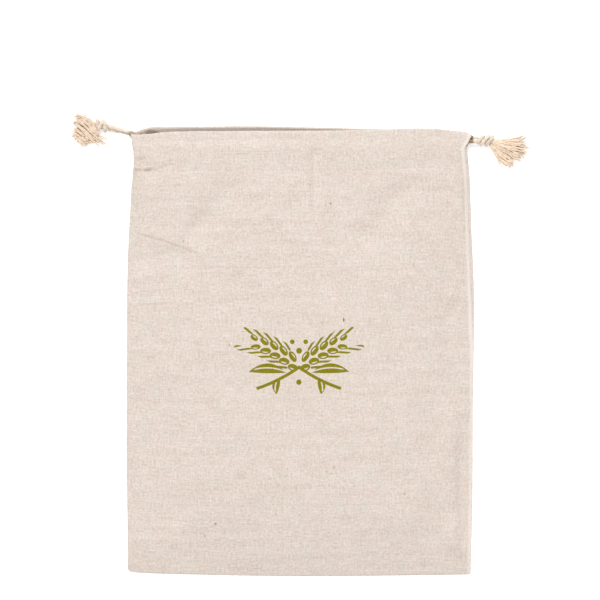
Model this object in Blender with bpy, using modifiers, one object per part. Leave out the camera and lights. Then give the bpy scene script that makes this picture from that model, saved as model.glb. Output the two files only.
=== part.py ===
"""Linen bread bag, empty and lying on its back, with a drawcord knotted at each top corner.

Two cloth panels are sewn together down both sides and along the bottom. The top of each panel is turned
in and stitched down, which makes a flat channel along the mouth. Two cords run through the channels. Each
goes in at one corner through the front channel, turns round the far end, and comes back through the back
channel to the corner that it started from. There its two ends are knotted, and unravelled past the knot.

+X is to the right, +Y is towards the mouth, +Z is up. The origin is the middle of the underside.
Tables are in millimetres. The model is in metres.
"""

import math

import bmesh
import bpy
from mathutils import Vector

MM = 0.001


def table(columns, *rows):
    """Rows of numbers, each read by the name of its column."""
    return [dict(zip(columns.split(), row)) for row in rows]


# The cloth and how the layers are stacked at the mouth.
CLOTH = 1.0
GAP = 0.3
LAYER_GAP = 0.6
HEM_DEPTH = 38.0
CHANNEL_HEIGHT = 3.6
CHANNEL_FULL_TO = 17.0
CHANNEL_SHUT_AT = 31.0
MOUTH_HEIGHT = 4.8
MOUTH_SHUT_AT = 138.0
MOUTH_EASE = 70.0

# How the front panel rises from the seams that join it to the back panel.
CROWN = 9.8
SIDE_EASE = 60.0
BOTTOM_EASE = 70.0
MOUTH_FALL = 50.0
EDGE_EASE = 8.0
CORNER_CLOSED_AT = 42.0

# The cords and what is tied in them.
CORD_DIAMETER = 2.8
CORD_STEP = 9.4
FLOOR_GAP = 0.3

# The top edge of each panel, from left to right.
TOP_EDGE = table(
    "x front back",
    (-151.0, 192.2, 196.5),
    (-143.0, 193.8, 197.8),
    (-134.0, 195.3, 200.2),
    (-121.0, 196.7, 201.1),
    (-85.0, 197.1, 201.6),
    (-45.0, 197.1, 201.6),
    (0.0, 197.1, 200.7),
    (30.0, 197.1, 199.9),
    (72.0, 198.0, 198.9),
    (100.0, 199.1, 198.2),
    (117.0, 199.4, 197.8),
    (134.0, 198.1, 197.0),
    (144.0, 196.5, 195.8),
    (154.0, 194.1, 193.5),
)
BOTTOM_EDGE = table(
    "x y",
    (-155.5, -195.6),
    (-151.0, -197.8),
    (-138.0, -199.0),
    (-112.0, -199.9),
    (-24.0, -201.6),
    (38.0, -201.6),
    (150.0, -199.9),
    (155.5, -199.2),
)
# The two sides, from the bottom to the mouth. At the left corner the back panel is narrower.
SIDES = table(
    "y front_left front_right back_left back_right",
    (-202.0, -153.8, 152.4, -153.8, 152.4),
    (-165.0, -154.6, 153.2, -154.6, 153.2),
    (-120.0, -155.2, 154.3, -155.2, 154.3),
    (-60.0, -155.5, 154.7, -155.5, 154.7),
    (0.0, -154.9, 155.4, -154.9, 155.4),
    (60.0, -154.3, 155.5, -154.3, 155.5),
    (100.0, -153.0, 153.6, -153.0, 153.6),
    (130.0, -151.8, 152.6, -151.8, 152.6),
    (155.0, -149.7, 151.4, -149.5, 151.2),
    (170.0, -148.3, 150.3, -143.0, 150.2),
    (180.0, -148.0, 150.2, -139.6, 150.6),
    (187.0, -148.7, 151.0, -139.2, 152.0),
    (193.0, -150.8, 153.6, -139.2, 153.0),
    (202.0, -151.0, 154.0, -139.2, 153.0),
)
HEM_LEFT = -138.0
HEM_RIGHT = 142.0

# Soft folds of the front panel: where each starts and ends, how high it stands and half its width.
FOLDS = table(
    "x0 y0 x1 y1 rise spread",
    (13.0, 178.0, 12.0, 130.0, 0.9, 8.0),
    (-54.0, 180.0, -98.0, 122.0, -0.5, 13.0),
    (-98.0, 122.0, -116.0, 92.0, -0.4, 12.0),
    (85.0, 167.0, 49.0, 114.0, -0.5, 13.0),
    (-150.0, 107.0, -117.0, 97.0, 1.2, 7.0),
    (-117.0, 97.0, -92.0, 88.0, 0.9, 8.0),
    (144.0, 60.0, 129.0, 38.0, 0.8, 7.0),
    (129.0, 38.0, 128.0, 20.0, 0.6, 8.0),
    (141.0, -66.0, 142.0, -190.0, 0.8, 7.0),
    (-140.0, -30.0, -70.0, 20.0, 0.6, 12.0),
    (-148.0, -120.0, -60.0, -70.0, 0.7, 14.0),
)
# Three slow waves that keep the crown from being even: their length, direction and height.
WAVES = table(
    "length turn rise shift",
    (118.0, 24.0, 0.26, 0.4),
    (83.0, 101.0, 0.2, 1.9),
    (61.0, 57.0, 0.12, 4.1),
)

# Points (x, y, z) along each cord, from one knotted end to the other.
LEFT_ROUTE = (
    (-172.2, 201.7, 6.1),
    (-166.5, 200.0, 6.7),
    (-160.0, 198.0, 7.3),
    (-155.0, 196.6, 7.6),
    (-150.0, 195.7, 7.8),
    (-146.0, 194.3, 7.8),
    (-142.8, 192.3, 8.0),
    (-139.3, 190.8, 8.7),
    (-135.0, 190.5, 9.0),
    (-120.0, 192.2, 9.8),
    (-103.0, 192.5, 11.2),
    (-86.0, 192.6, 12.6),
    (-68.0, 192.6, 13.2),
    (-28.0, 192.6, 13.2),
    (20.0, 192.6, 13.2),
    (68.0, 193.6, 13.2),
    (86.0, 194.2, 12.6),
    (103.0, 194.6, 11.2),
    (120.0, 194.6, 9.8),
    (132.0, 193.8, 9.1),
    (142.6, 193.3, 9.0),
    (146.8, 191.9, 7.9),
    (148.3, 188.6, 5.8),
    (146.8, 185.2, 3.7),
    (142.6, 183.8, 2.8),
    (120.0, 184.6, 2.8),
    (85.0, 185.8, 2.8),
    (40.0, 186.8, 2.8),
    (-10.0, 187.2, 2.8),
    (-60.0, 187.4, 2.8),
    (-105.0, 187.2, 2.8),
    (-132.0, 186.3, 2.8),
    (-141.0, 185.8, 2.8),
    (-146.4, 187.2, 2.8),
    (-149.4, 190.6, 2.8),
    (-151.6, 193.6, 2.9),
    (-155.5, 195.5, 3.1),
    (-161.0, 196.9, 3.4),
    (-166.5, 197.9, 3.7),
    (-172.2, 198.9, 4.0),
)
RIGHT_ROUTE = (
    (160.3, 187.9, 6.6),
    (155.8, 187.8, 7.9),
    (150.5, 187.3, 8.8),
    (144.5, 186.9, 9.0),
    (137.0, 187.0, 9.1),
    (120.0, 187.8, 9.8),
    (103.0, 188.0, 11.2),
    (86.0, 187.7, 12.6),
    (68.0, 187.2, 13.2),
    (20.0, 186.5, 13.2),
    (-28.0, 186.3, 13.2),
    (-68.0, 186.0, 13.2),
    (-86.0, 185.7, 12.6),
    (-103.0, 185.2, 11.2),
    (-120.0, 184.4, 9.6),
    (-131.0, 183.7, 9.0),
    (-138.2, 183.7, 8.9),
    (-142.3, 184.9, 8.0),
    (-143.9, 188.3, 5.8),
    (-142.3, 191.6, 3.7),
    (-138.2, 193.3, 2.8),
    (-131.0, 194.3, 2.8),
    (-120.0, 195.3, 2.8),
    (-88.0, 196.6, 2.8),
    (-45.0, 196.8, 2.8),
    (0.0, 196.1, 2.8),
    (35.0, 195.2, 2.8),
    (72.0, 194.3, 2.8),
    (100.0, 193.6, 2.8),
    (125.0, 192.6, 2.8),
    (140.0, 191.9, 2.8),
    (150.0, 191.6, 2.8),
    (155.8, 190.9, 3.1),
    (160.3, 190.5, 3.7),
)

# The knots: the middle of each, how long and thick it is, and which way it points, in degrees from +X.
KNOTS = table(
    "name x y z length thickness turn",
    ("knot_left", -177.6, 201.6, 4.5, 9.6, 9.4, 170.0),
    ("knot_right", 166.9, 188.6, 4.5, 12.6, 9.4, -8.0),
)
# The tassels: a middle, then how far the yarns reach from it, by direction in degrees from +X.
TASSELS = table(
    "name x y",
    ("tassel_left", -191.0, 199.0),
    ("tassel_right", 188.5, 181.5),
)
TASSEL_REACH = {
    "tassel_left": table(
        "direction reach",
        (-20.0, 11.0),
        (12.0, 8.0),
        (45.0, 8.0),
        (90.0, 11.5),
        (125.0, 18.0),
        (150.0, 18.5),
        (180.0, 18.0),
        (205.0, 17.5),
        (235.0, 17.0),
        (265.0, 15.5),
        (292.0, 14.5),
        (321.0, 20.0),
        (340.0, 11.0),
    ),
    "tassel_right": table(
        "direction reach",
        (-10.0, 15.0),
        (13.0, 15.3),
        (36.0, 18.4),
        (62.0, 9.0),
        (110.0, 9.0),
        (141.0, 13.4),
        (157.0, 16.3),
        (185.0, 11.5),
        (247.0, 10.6),
        (286.0, 17.6),
        (302.0, 16.4),
        (320.0, 13.0),
        (350.0, 15.0),
    ),
}
TASSEL_HEIGHT = 9.0

# Across a panel: columns are close together near the sides, where the cloth turns down to the seams.
COLUMN_SHARES = (0.0, 0.013, 0.027, 0.045, 0.075, 0.115, 0.16, 0.21, 0.265, 0.33, 0.4, 0.465)
# Down a panel: the hem, the turn at the top, the channel, and then even rows to the bottom.
CHANNEL_ROWS = (38.0, 34.5, 31.0, 27.5, 24.0, 20.5, 17.0, 9.5)
TURN_STEPS = 5
BODY_ROWS = 23

LINEN = (0.80, 0.715, 0.635, 1.0)
CORD_COTTON = (0.86, 0.77, 0.64, 1.0)
YARN = (0.91, 0.80, 0.66, 1.0)


def smooth(share):
    """0 up to 0, 1 from 1, with an even curve between."""
    share = min(1.0, max(0.0, share))
    return share * share * (3 - 2 * share)


def mix(low, high, share):
    return low + (high - low) * share


def read(rows, column, at):
    """The value of a table's column at a place along its first column, on a smooth curve through the rows."""
    key = next(iter(rows[0]))
    if at <= rows[0][key]:
        return rows[0][column]
    if at >= rows[-1][key]:
        return rows[-1][column]
    k = next(i for i in range(1, len(rows)) if rows[i][key] >= at)
    a, b = rows[k - 1], rows[k]
    before, after = rows[max(k - 2, 0)], rows[min(k + 1, len(rows) - 1)]
    width = b[key] - a[key]
    slope_a = (b[column] - before[column]) / (b[key] - before[key]) * width
    slope_b = (after[column] - a[column]) / (after[key] - a[key]) * width
    t = (at - a[key]) / width
    return (
        (2 * t**3 - 3 * t**2 + 1) * a[column]
        + (t**3 - 2 * t**2 + t) * slope_a
        + (3 * t**2 - 2 * t**3) * b[column]
        + (t**3 - t**2) * slope_b
    )


def channel(depth):
    """The height inside a cord channel, by depth below its top edge. Below the stitches it is shut."""
    shut = smooth((depth - CHANNEL_FULL_TO) / (CHANNEL_SHUT_AT - CHANNEL_FULL_TO))
    return mix(CHANNEL_HEIGHT, GAP, shut)


def back_hem_top(x, y):
    """The highest face of the back panel's hem."""
    return CLOTH + channel(read(TOP_EDGE, "back", x) - y) + CLOTH


def front_hem_top(x, y):
    """The face of the front panel's hem that its cords lie on. The mouth opens towards the middle."""
    opened = smooth((MOUTH_SHUT_AT - abs(x)) / MOUTH_EASE)
    full = 2 * CLOTH + CHANNEL_HEIGHT + MOUTH_HEIGHT
    return mix(back_hem_top(x, y) + LAYER_GAP, full, opened) + CLOTH


def folds(x, y):
    """How far the soft folds and slow waves lift the front panel."""
    lift = 0.0
    for fold in FOLDS:
        run = Vector((fold["x1"] - fold["x0"], fold["y1"] - fold["y0"]))
        place = Vector((x - fold["x0"], y - fold["y0"]))
        share = place.dot(run) / run.length_squared
        near = place - run * min(1.0, max(0.0, share))
        lift += fold["rise"] * math.exp(-((near.length / fold["spread"]) ** 2))
    for wave in WAVES:
        turn = math.radians(wave["turn"])
        along = x * math.cos(turn) + y * math.sin(turn)
        lift += wave["rise"] * math.sin(math.tau * along / wave["length"] + wave["shift"])
    return lift


def front_inside(x, y):
    """The height of the front panel's inner face."""
    depth = read(TOP_EDGE, "front", x) - y
    from_side = min(x - read(SIDES, "front_left", y), read(SIDES, "front_right", y) - x)
    from_bottom = y - read(BOTTOM_EDGE, "y", x)
    seam = CLOTH + GAP
    stack = front_hem_top(x, y) + channel(min(depth, HEM_DEPTH))
    open_end = 3 * CLOTH + 2 * CHANNEL_HEIGHT + LAYER_GAP
    closing = smooth((depth - CHANNEL_FULL_TO) / (CORNER_CLOSED_AT - CHANNEL_FULL_TO))
    mouth = mix(mix(open_end, seam, closing), stack, smooth(from_side / EDGE_EASE))
    if depth <= HEM_DEPTH:
        return mouth
    crown = seam + CROWN * smooth(from_side / SIDE_EASE) * smooth(from_bottom / BOTTOM_EASE)
    below = smooth((depth - HEM_DEPTH) / MOUTH_FALL)
    loose = smooth((from_side - 3) / 14) * smooth((from_bottom - 3) / 20) * below
    return mix(mouth, crown, below) + folds(x, y) * loose


def shares():
    """The columns of a panel, from its left side to its right."""
    return [*COLUMN_SHARES, *(1 - share for share in reversed(COLUMN_SHARES))]


def rows():
    """The rows of a panel: (kind, value), from the raw edge of its hem round the turn and down."""
    found = [("hem", depth) for depth in CHANNEL_ROWS]
    found += [("turn", step / TURN_STEPS) for step in range(TURN_STEPS + 1)]
    found += [("channel", depth) for depth in reversed(CHANNEL_ROWS)]
    found += [("body", (step + 1) / BODY_ROWS) for step in range(BODY_ROWS)]
    return found


def panel_point(side, share, kind, value):
    """A point of a panel's inner face, which is the face inside its channel and inside the bag."""
    left, right = side + "_left", side + "_right"
    # How far this row has left the hem's sides, which are inboard, for the sides of the outer layer.
    outer = {"hem": 0.0, "turn": value ** mix(3.0, 1.5, share)}.get(kind, 1.0)
    hem_x = mix(HEM_LEFT, HEM_RIGHT, share)
    top = read(TOP_EDGE, side, mix(hem_x, mix(SIDES[-1][left], SIDES[-1][right], share), outer))
    radius = CHANNEL_HEIGHT / 2
    y = top - value
    if kind == "turn":
        angle = math.pi * (value - 0.5)
        y = top - CLOTH - radius * (1 - math.cos(angle))
    elif kind == "body":
        bottom = read(BOTTOM_EDGE, "y", mix(SIDES[0][left], SIDES[0][right], share))
        y = mix(top - HEM_DEPTH, bottom, value)
    flat_y = min(y, top - CLOTH - radius)
    outer_x = mix(read(SIDES, left, flat_y), read(SIDES, right, flat_y), share)
    x = mix(hem_x, outer_x, outer)
    if side == "front":
        hem, main = front_hem_top(x, flat_y), front_inside(x, flat_y)
    else:
        hem, main = CLOTH + channel(top - flat_y), CLOTH
    if kind == "turn":
        return x, y, mix(hem, main, (1 + math.sin(angle)) / 2)
    return x, y, hem if kind == "hem" else main


def material(name, colour, roughness):
    made = bpy.data.materials.new(name)
    made.use_nodes = True
    shader = made.node_tree.nodes["Principled BSDF"]
    shader.inputs["Base Color"].default_value = colour
    shader.inputs["Roughness"].default_value = roughness
    shader.inputs["Metallic"].default_value = 0.0
    return made


def placed(name, data, collection, finish):
    """A new object that holds the data, in the collection, with its material."""
    made = bpy.data.objects.new(name, data)
    collection.objects.link(made)
    data.materials.append(finish)
    return made


def panel(side, collection, finish):
    """A cloth panel: its inner face as a grid of rows and columns, given the cloth's thickness outwards."""
    across, down = shares(), rows()
    grid = bmesh.new()
    bmesh.ops.create_grid(grid, x_segments=len(across) - 1, y_segments=len(down) - 1, size=0.5)
    for vertex in grid.verts:
        share = across[round((vertex.co.x + 0.5) * (len(across) - 1))]
        kind, value = down[round((vertex.co.y + 0.5) * (len(down) - 1))]
        vertex.co = Vector(panel_point(side, share, kind, value)) * MM
    mesh = bpy.data.meshes.new(side + "_panel")
    grid.to_mesh(mesh)
    grid.free()
    mesh.shade_smooth()
    made = placed(side + "_panel", mesh, collection, finish)
    thick = made.modifiers.new("cloth", "SOLIDIFY")
    thick.thickness = CLOTH * MM
    thick.offset = -1.0 if side == "front" else 1.0
    thick.use_even_offset = True
    return made


def smooth_line(points, step):
    """Points about a step apart on a smooth curve through the route's own points."""
    line = [Vector(p) for p in points]
    ends = [line[0] * 2 - line[1], *line, line[-1] * 2 - line[-2]]
    fine = []
    for a, b, c, d in zip(ends, ends[1:], ends[2:], ends[3:]):
        for k in range(24):
            t = k / 24
            fine.append(
                b
                + (c - a) * (t / 2)
                + (a * 2 - b * 5 + c * 4 - d) * (t * t / 2)
                + (b * 3 - a - c * 3 + d) * (t**3 / 2)
            )
    fine.append(line[-1])
    lengths = [0.0]
    for a, b in zip(fine, fine[1:]):
        lengths.append(lengths[-1] + (b - a).length)
    count = math.ceil(lengths[-1] / step)
    found, k = [], 0
    for n in range(count + 1):
        at = lengths[-1] * n / count
        while k < len(fine) - 2 and lengths[k + 1] < at:
            k += 1
        share = (at - lengths[k]) / (lengths[k + 1] - lengths[k])
        found.append(fine[k].lerp(fine[k + 1], min(1.0, share)))
    return found


def cord(name, route, collection, finish):
    """A drawcord, as a tube along its whole route."""
    curve = bpy.data.curves.new(name, "CURVE")
    curve.dimensions = "3D"
    points = smooth_line(route, CORD_STEP)
    spline = curve.splines.new("POLY")
    spline.points.add(len(points) - 1)
    for place, point in zip(spline.points, points):
        place.co = (*(point * MM), 1.0)
    curve.bevel_depth = CORD_DIAMETER / 2 * MM
    curve.bevel_resolution = 2
    curve.use_fill_caps = True
    return placed(name, curve, collection, finish)


def moved_sphere(name, segments, rings, place, collection, finish):
    """A round solid whose points are moved by a function from a sphere of radius 1 to millimetres."""
    ball = bmesh.new()
    bmesh.ops.create_uvsphere(ball, u_segments=segments, v_segments=rings, radius=1.0)
    for vertex in ball.verts:
        vertex.co = Vector(place(*vertex.co)) * MM
    bmesh.ops.recalc_face_normals(ball, faces=ball.faces)
    mesh = bpy.data.meshes.new(name)
    ball.to_mesh(mesh)
    ball.free()
    mesh.shade_smooth()
    return placed(name, mesh, collection, finish)


def knot(tied, collection, finish):
    """An overhand knot, as one lump with two wraps of cord round it."""
    turn = math.radians(tied["turn"])

    def place(across, up, along):
        round_it = math.atan2(up, across)
        wide = math.hypot(across, up) ** 0.7 * (0.93 + 0.07 * math.cos(2 * round_it + 3.2 * along))
        side = wide * math.cos(round_it) * tied["thickness"] / 2
        ahead = along * tied["length"] / 2
        return (
            tied["x"] + ahead * math.cos(turn) - side * math.sin(turn),
            tied["y"] + ahead * math.sin(turn) + side * math.cos(turn),
            tied["z"] + wide * math.sin(round_it) * tied["thickness"] / 2,
        )

    return moved_sphere(tied["name"], 16, 10, place, collection, finish)


def tassel(fan, collection, finish):
    """The unravelled ends past a knot, as one low fan with the outline of the yarns."""
    reach = TASSEL_REACH[fan["name"]]
    last = {**reach[-1], "direction": reach[-1]["direction"] - 360}
    first = {**reach[0], "direction": reach[0]["direction"] + 360}
    around = [last, *reach, first]

    def place(x, y, z):
        direction = math.degrees(math.atan2(y, x))
        out = math.hypot(x, y) * read(around, "reach", direction if direction > -19 else direction + 360)
        turn = math.radians(direction)
        return (
            fan["x"] + out * math.cos(turn),
            fan["y"] + out * math.sin(turn),
            FLOOR_GAP + TASSEL_HEIGHT * (z + 1) / 2,
        )

    return moved_sphere(fan["name"], 28, 8, place, collection, finish)


def build():
    for old in list(bpy.data.objects):
        bpy.data.objects.remove(old)
    bag = bpy.data.collections.new("linen_bread_bag")
    bpy.context.scene.collection.children.link(bag)
    linen = material("linen", LINEN, 0.9)
    cotton = material("cord_cotton", CORD_COTTON, 0.85)
    yarn = material("yarn", YARN, 0.9)
    panel("back", bag, linen)
    panel("front", bag, linen)
    cord("drawcord_left", LEFT_ROUTE, bag, cotton)
    cord("drawcord_right", RIGHT_ROUTE, bag, cotton)
    for tied in KNOTS:
        knot(tied, bag, cotton)
    for fan in TASSELS:
        tassel(fan, bag, yarn)


build()
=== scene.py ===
"""A linen bread bag, empty and lying on its back: two sewn panels, two drawcords, their knots and tassels.

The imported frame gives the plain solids. Each section below makes one piece, or one pair of pieces, in the
order in which the bag is put together. Tables and shapes are in millimetres, and the finished meshes are in
metres, with +X to the right, +Y towards the mouth and +Z up.
"""

import math
import random

import bmesh
import bpy
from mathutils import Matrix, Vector, noise


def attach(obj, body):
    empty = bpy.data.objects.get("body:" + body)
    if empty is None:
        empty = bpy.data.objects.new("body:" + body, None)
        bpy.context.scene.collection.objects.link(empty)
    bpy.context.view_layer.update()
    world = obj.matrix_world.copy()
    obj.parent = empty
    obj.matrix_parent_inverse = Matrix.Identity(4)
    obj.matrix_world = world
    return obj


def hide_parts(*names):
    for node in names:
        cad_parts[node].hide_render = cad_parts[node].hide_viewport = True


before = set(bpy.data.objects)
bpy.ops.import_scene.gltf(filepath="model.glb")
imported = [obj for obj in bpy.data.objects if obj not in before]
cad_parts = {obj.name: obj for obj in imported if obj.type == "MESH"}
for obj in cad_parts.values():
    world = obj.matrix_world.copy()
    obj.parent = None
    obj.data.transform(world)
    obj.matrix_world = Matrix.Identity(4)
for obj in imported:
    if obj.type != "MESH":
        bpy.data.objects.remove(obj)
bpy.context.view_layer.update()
MM = 0.001


# The back panel: a plain weave of undyed linen and cotton, flat on the table. Its top is turned in and
# stitched down as a flat channel for the cords, and its sides and bottom are sewn to the front panel.
CLOTH = 0.6
CHANNEL_HEIGHT = 3.6
# How far below the top edge the room for the cords ends, the stitches run and the hem's raw edge lies.
CORDS_DEPTH = 13.0
STITCH_DEPTH = 35.0
HEM_DEPTH = 38.0
HEM_SIDES = (-138.0, 142.0)
# The heights of the back's inner face and of the seams, and the radius of the cloth's turn at a seam.
FLOOR_FACE = 0.6
SEAM_HEIGHT = 1.0
SEAM_BEND = 0.45
# The front's lowest height, the one beside a seam, those at the channel's ends and in the middle of the open
# mouth, and how much higher the crown is than the cloth beside a seam.
RESTING = 0.9
BESIDE_SEAM = 1.3
CHANNEL_END = 10.8
OPEN_MOUTH = 10.4
CROWN_RISE = 9.8
# On the flat cloth: half its width, its bottom seam, and where the hem's raw edge comes to when turned in.
FLAT_SIDE = 155.5
FLAT_BOTTOM = -201.2
FLAT_HEM = 159.0
# The brown of painted shade: at the mouth's corners, on cords in the channels, over the left knot and tassel.
PAINTED_SHADE_BROWN = (0.2, 0.135, 0.08, 1.0)


def table(columns, *rows):
    """Rows of numbers, each read by the name of its column."""
    return [dict(zip(columns.split(), row)) for row in rows]


TOP_EDGE = table(
    "x front back",
    (-151.0, 194.4, 195.4),
    (-148.2, 193.9, 196.2),
    (-144.8, 193.6, 197.6),
    (-142.2, 193.8, 198.5),
    (-139.4, 194.1, 199.3),
    (-136.0, 194.2, 200.3),
    (-132.0, 194.6, 200.7),
    (-121.0, 196.0, 200.7),
    (-85.0, 196.5, 201.1),
    (-45.0, 196.7, 201.4),
    (0.0, 196.9, 200.6),
    (30.0, 197.1, 199.9),
    (72.0, 198.0, 198.9),
    (100.0, 199.1, 198.2),
    (117.0, 199.0, 197.8),
    (134.0, 197.8, 197.0),
    (144.0, 196.7, 195.8),
    (151.0, 195.4, 194.6),
    (156.0, 193.6, 193.0),
)
BOTTOM_EDGE = table(
    "x y",
    (-155.5, -195.6),
    (-151.0, -197.8),
    (-138.0, -199.0),
    (-112.0, -199.9),
    (-24.0, -201.6),
    (38.0, -201.6),
    (137.0, -200.5),
    (150.0, -200.2),
    (155.5, -199.6),
)
SIDES = table(
    "y front_left front_right back_left back_right",
    (-202.0, -154.0, 153.2, -154.0, 153.2),
    (-165.0, -154.4, 154.2, -154.4, 154.2),
    (-120.0, -155.1, 155.0, -155.1, 155.0),
    (-60.0, -155.4, 155.2, -155.4, 155.2),
    (0.0, -155.1, 156.0, -155.1, 156.0),
    (60.0, -154.8, 156.0, -154.8, 156.0),
    (100.0, -153.6, 154.3, -153.6, 154.3),
    (130.0, -151.9, 153.3, -151.9, 153.3),
    (155.0, -150.1, 152.4, -149.9, 152.2),
    (170.0, -148.8, 151.0, -143.0, 150.8),
    (180.0, -149.2, 149.9, -139.6, 149.6),
    (183.5, -149.8, 150.2, -139.2, 150.0),
    (187.0, -150.4, 150.9, -139.6, 152.3),
    (193.0, -151.0, 153.8, -146.2, 155.4),
    (202.0, -151.2, 154.4, -148.0, 155.8),
)


def smooth(share):
    """0 up to 0, 1 from 1, with an even curve between."""
    share = min(1.0, max(0.0, share))
    return share * share * (3 - 2 * share)


def mix(low, high, share):
    return low + (high - low) * share


def read(rows, column, at):
    """The value of a table's column at a place along its first column, on a smooth curve through the rows."""
    key = next(iter(rows[0]))
    if at <= rows[0][key]:
        return rows[0][column]
    if at >= rows[-1][key]:
        return rows[-1][column]
    k = next(i for i in range(1, len(rows)) if rows[i][key] >= at)
    a, b = rows[k - 1], rows[k]
    before, after = rows[max(k - 2, 0)], rows[min(k + 1, len(rows) - 1)]
    width = b[key] - a[key]
    slope_a = (b[column] - before[column]) / (b[key] - before[key]) * width
    slope_b = (after[column] - a[column]) / (after[key] - a[key]) * width
    t = (at - a[key]) / width
    return (
        (2 * t**3 - 3 * t**2 + 1) * a[column]
        + (t**3 - 2 * t**2 + t) * slope_a
        + (3 * t**2 - 2 * t**3) * b[column]
        + (t**3 - t**2) * slope_b
    )


def channel(depth):
    """The height inside a cord channel, by depth below its top edge. It closes towards its stitches."""
    return mix(CHANNEL_HEIGHT, 0.3, smooth((depth - CORDS_DEPTH) / (STITCH_DEPTH - CORDS_DEPTH)))


def below_cords(depth):
    """0 where the cords hold the channel open, 1 from well below them."""
    return smooth((depth - 12.0) / 12.0)


def front_hem_top(x, y):
    """The face of the front panel's hem that its cords lie on. The mouth opens towards the middle."""
    depth = read(TOP_EDGE, "front", x) - y
    to_stitches = smooth(depth / STITCH_DEPTH)
    shut = 2.6 + mix(channel(read(TOP_EDGE, "back", x) - y), CHANNEL_HEIGHT, 0.8) + to_stitches
    pressed = min(0.0, lifted(CREASES, x, y)) * below_cords(depth)
    return mix(shut, OPEN_MOUTH, smooth((138.0 - abs(x)) / 70.0)) + 1.0 + 2.4 * to_stitches + pressed


# Soft folds of the front panel: where each starts and ends, how high it stands and half its width.
FOLDS = table(
    "x0 y0 x1 y1 rise spread",
    (-48.0, 174.0, -66.0, 135.0, -2.7, 12.0),
    (-66.0, 135.0, -94.0, 107.0, -3.0, 12.0),
    (-94.0, 107.0, -104.0, 86.0, -2.2, 12.0),
    (112.0, 172.0, 88.0, 140.0, -2.0, 13.0),
    (88.0, 140.0, 60.0, 104.0, -3.3, 12.0),
    (-150.0, 106.0, -117.0, 96.5, 1.1, 6.0),
    (-117.0, 96.5, -92.0, 87.0, 0.9, 6.0),
    (144.0, 60.0, 129.0, 38.0, 0.6, 7.0),
    (129.0, 38.0, 128.0, 20.0, 0.5, 8.0),
    (135.0, -60.0, 138.0, -172.0, 1.9, 8.0),
    (-140.0, -30.0, -70.0, 20.0, 0.6, 12.0),
    (-148.0, -120.0, -60.0, -70.0, 0.7, 14.0),
)
# Its narrower troughs and creases, in the same form, and a few broad swells beside them.
CREASES = table(
    "x0 y0 x1 y1 rise spread",
    (-151.0, 160.6, -134.0, 160.6, -1.0, 1.9),
    (-134.0, 160.8, -116.0, 167.6, -0.8, 2.2),
    (-149.0, 171.5, -138.5, 171.0, -0.8, 1.7),
    (-54.0, 174.0, -66.0, 146.0, -0.6, 7.0),
    (-89.0, 117.0, -98.0, 104.0, -1.2, 6.5),
    (13.0, 182.0, 13.0, 126.0, -2.3, 4.2),
    (22.0, 180.0, 22.0, 128.0, 0.8, 5.5),
    (84.0, 66.0, 152.0, 84.0, 2.2, 32.0),
    (-148.0, 66.0, -98.0, 80.0, 0.9, 8.0),
    (-98.0, 80.0, -49.0, 88.5, 0.7, 8.0),
    (145.0, 59.0, 143.0, 46.0, -0.8, 3.0),
    (140.0, 40.0, 130.0, 28.0, -0.8, 3.0),
    (146.0, -62.0, 144.0, -110.0, -1.8, 6.5),
    (144.0, -110.0, 147.0, -170.0, -1.6, 6.5),
    (137.0, -168.0, 154.0, -170.0, 1.2, 9.0),
    (150.0, -52.0, 134.0, -92.0, 2.0, 14.0),
    (134.0, -92.0, 120.0, -122.0, 2.0, 14.0),
    (120.0, -122.0, 100.0, -144.0, 1.6, 14.0),
    (-30.0, 120.0, -72.0, 60.0, 0.5, 9.0),
    (-120.0, -168.0, -40.0, -128.0, 0.5, 9.0),
    (-152.0, -172.0, -126.0, -180.0, 1.2, 9.0),
    (-146.0, 20.0, -100.0, 44.0, 0.5, 6.0),
    (20.0, 60.0, 84.0, 84.0, -0.5, 9.0),
)
# Three slow waves that keep the crown from being even: their length, direction, height and start.
WAVES = table(
    "length turn rise shift",
    (118.0, 24.0, 0.26, 0.4),
    (83.0, 101.0, 0.2, 1.9),
    (61.0, 57.0, 0.12, 4.1),
)


def lifted(folds, x, y):
    """How far the folds lift the cloth. One that starts where the one before it ends goes on from it."""
    lift, last, end = 0.0, 0.0, None
    for fold in folds:
        run_x, run_y = fold["x1"] - fold["x0"], fold["y1"] - fold["y0"]
        share = ((x - fold["x0"]) * run_x + (y - fold["y0"]) * run_y) / (run_x**2 + run_y**2)
        share = min(1.0, max(0.0, share))
        away = math.hypot(x - fold["x0"] - run_x * share, y - fold["y0"] - run_y * share) / fold["spread"]
        here = fold["rise"] * math.exp(-(away**2)) if away < 3 else 0.0
        if end == (fold["x0"], fold["y0"]):
            lift -= last
            here = max(here, last, key=abs)
        lift += here
        last, end = here, (fold["x1"], fold["y1"])
    return lift


def puckers(x, depth):
    """The small dips and ripples that the row of stitches along the channel pulls in the cloth."""
    row = math.exp(-(((depth - STITCH_DEPTH) / 2.0) ** 2))
    near = math.exp(-(((depth - STITCH_DEPTH) / 9.0) ** 2))
    ripple = noise.noise((x / 4.5, depth / 30.0, 3.1)) + 0.6 * noise.noise((x / 9.0, depth / 40.0, 8.2))
    return -0.2 * row + 0.4 * near * ripple


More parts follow.
